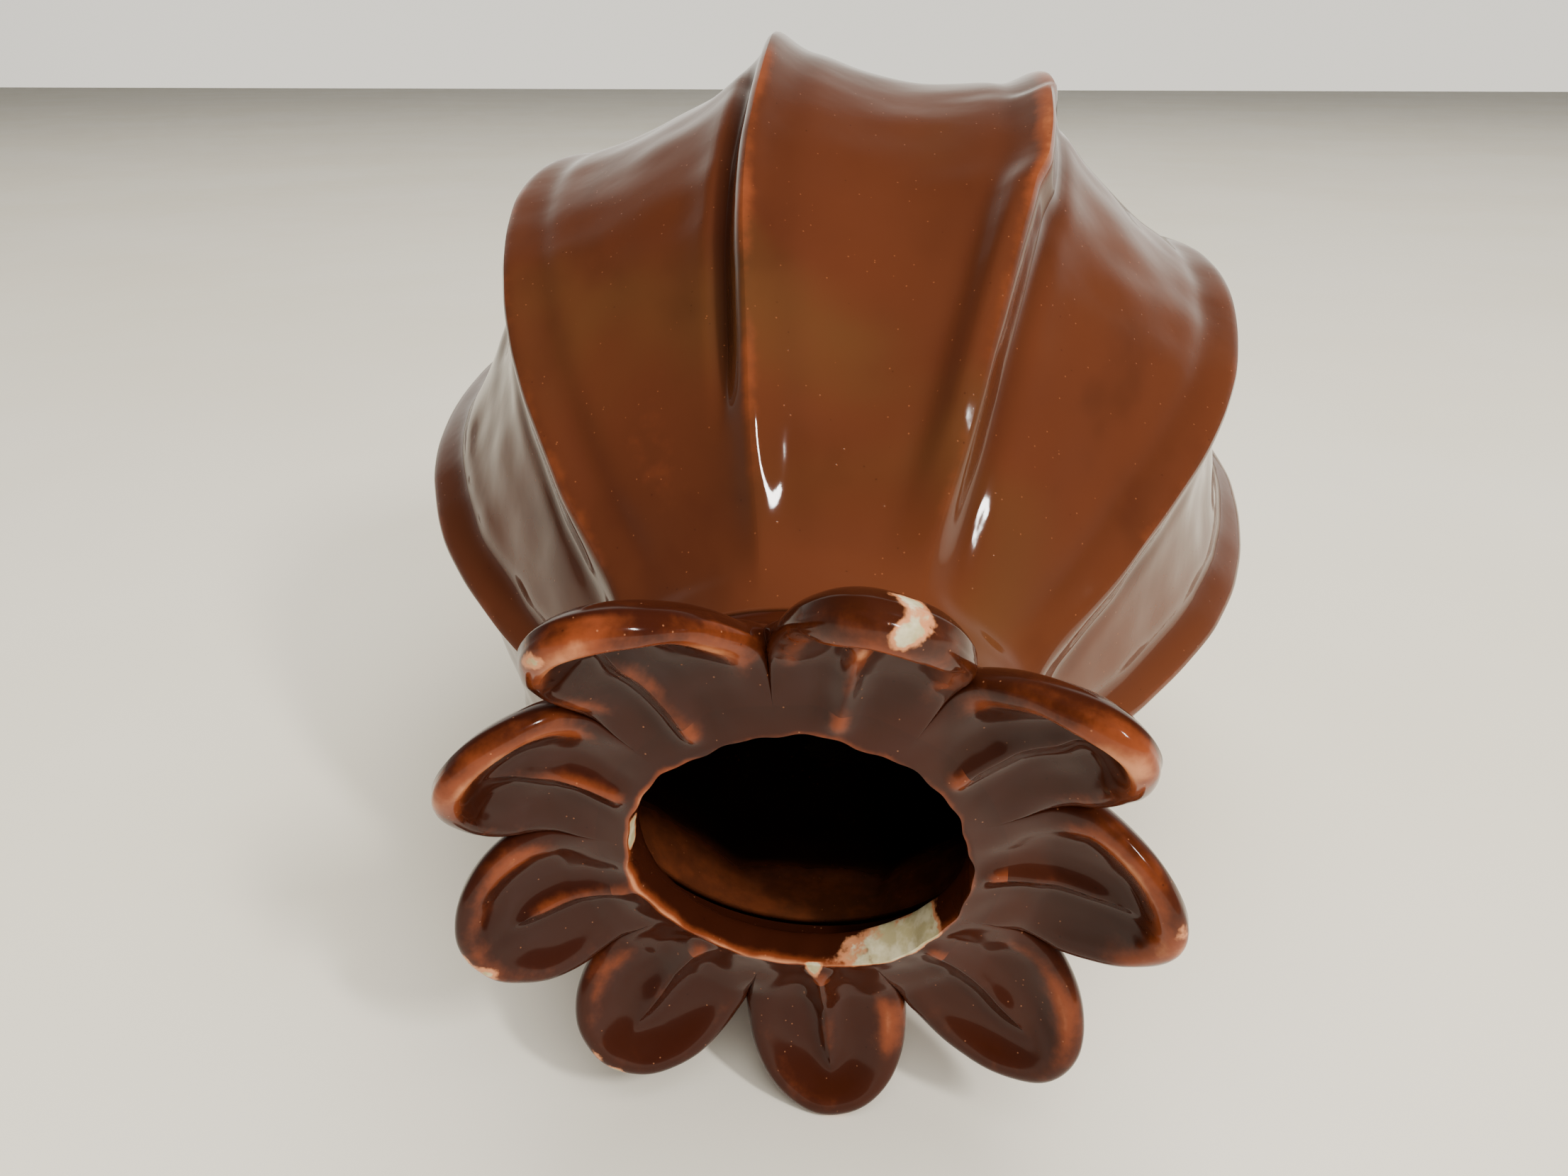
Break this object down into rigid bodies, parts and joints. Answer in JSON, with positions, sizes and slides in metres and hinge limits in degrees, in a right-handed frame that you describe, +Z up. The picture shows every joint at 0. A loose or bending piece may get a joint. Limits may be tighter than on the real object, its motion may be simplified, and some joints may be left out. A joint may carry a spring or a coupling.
{
  "type": "seed pod vase",
  "caption": "Hollow ceramic vase shaped like a ribbed poppy seed pod, with a crown of thick petals around an open round mouth, lying on its side.",
  "frame": {"origin": "on the floor, below the middle of the bounding box, with the vase lying on its side", "axes": "+Z up. The vase's own axis runs from the foot, at +Y, to the mouth, at -Y, and tips 12.84 degrees below the horizontal towards the mouth. +X is to the right for a viewer who looks into the mouth."},
  "size_m": [0.1862, 0.2384, 0.1808],
  "materials": {
    "brown_glaze": "glossy chestnut glaze that breaks to orange tan along the ribs",
    "dark_glaze": "glossy chocolate glaze that breaks to tan and cream on the rolled edges",
    "bare_clay": "dry unglazed cream clay"
  },
  "bodies": {
    "root": {"foot_slab": "bare_clay", "pod_panel_01": "brown_glaze", "pod_panel_02": "brown_glaze", "pod_panel_03": "brown_glaze", "pod_panel_04": "brown_glaze", "pod_panel_05": "brown_glaze", "pod_panel_06": "brown_glaze", "pod_panel_07": "brown_glaze", "pod_panel_08": "brown_glaze", "pod_panel_09": "brown_glaze", "pod_panel_10": "brown_glaze", "mouth_collar": "dark_glaze", "petal_01": "dark_glaze", "petal_02": "dark_glaze", "petal_03": "dark_glaze", "petal_04": "dark_glaze", "petal_05": "dark_glaze", "petal_06": "dark_glaze", "petal_07": "dark_glaze", "petal_08": "dark_glaze", "petal_09": "dark_glaze"}
  },
  "joints": []
}
